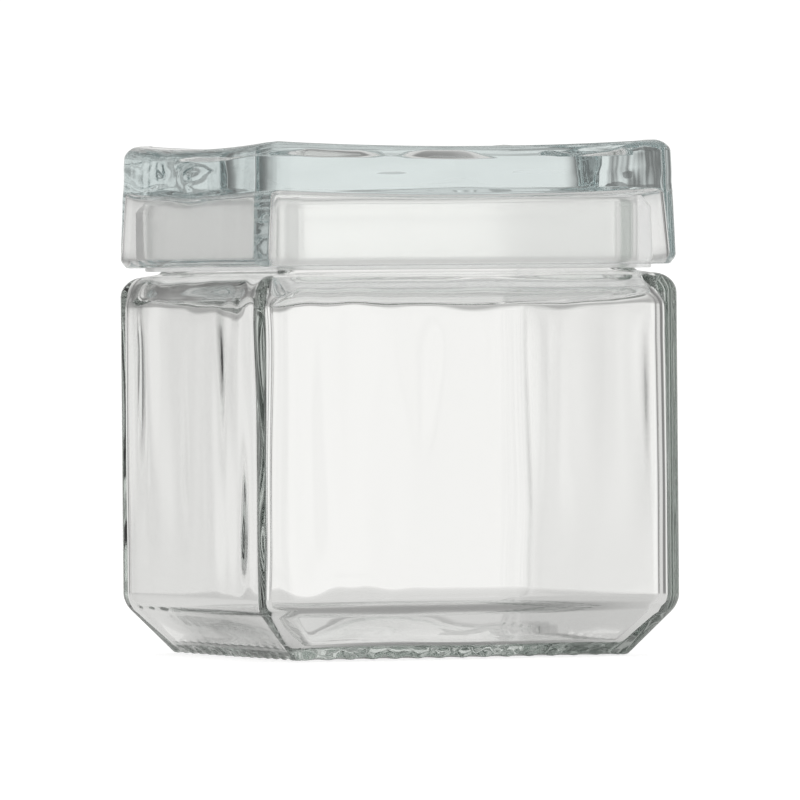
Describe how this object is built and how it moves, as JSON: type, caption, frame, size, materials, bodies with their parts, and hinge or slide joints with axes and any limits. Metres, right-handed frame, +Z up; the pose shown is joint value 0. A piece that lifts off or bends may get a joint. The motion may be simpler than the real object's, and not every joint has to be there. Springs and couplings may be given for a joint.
{
  "type": "lidded glass canister",
  "caption": "Square clear-glass storage canister with a lift-off stacking glass lid sealed by a soft translucent collar.",
  "frame": {"origin": "middle of the underside, on the plane the jar stands on", "axes": "+Z up along the jar's symmetry axis, X and Y square to its flat walls"},
  "size_m": [0.1074, 0.1074, 0.1231],
  "materials": {
    "jar_glass": "gloss",
    "lid_glass": "gloss",
    "gasket_polymer": "satin"
  },
  "bodies": {
    "jar_body": {"jar": "jar_glass"},
    "lid_body": {"lid": "lid_glass", "gasket": "gasket_polymer"}
  },
  "joints": [
    {"name": "lid_lift", "type": "slide", "parent": "jar_body", "child": "lid_body", "axis": [0, 0, 1], "range_m": [0, 0.03]}
  ]
}
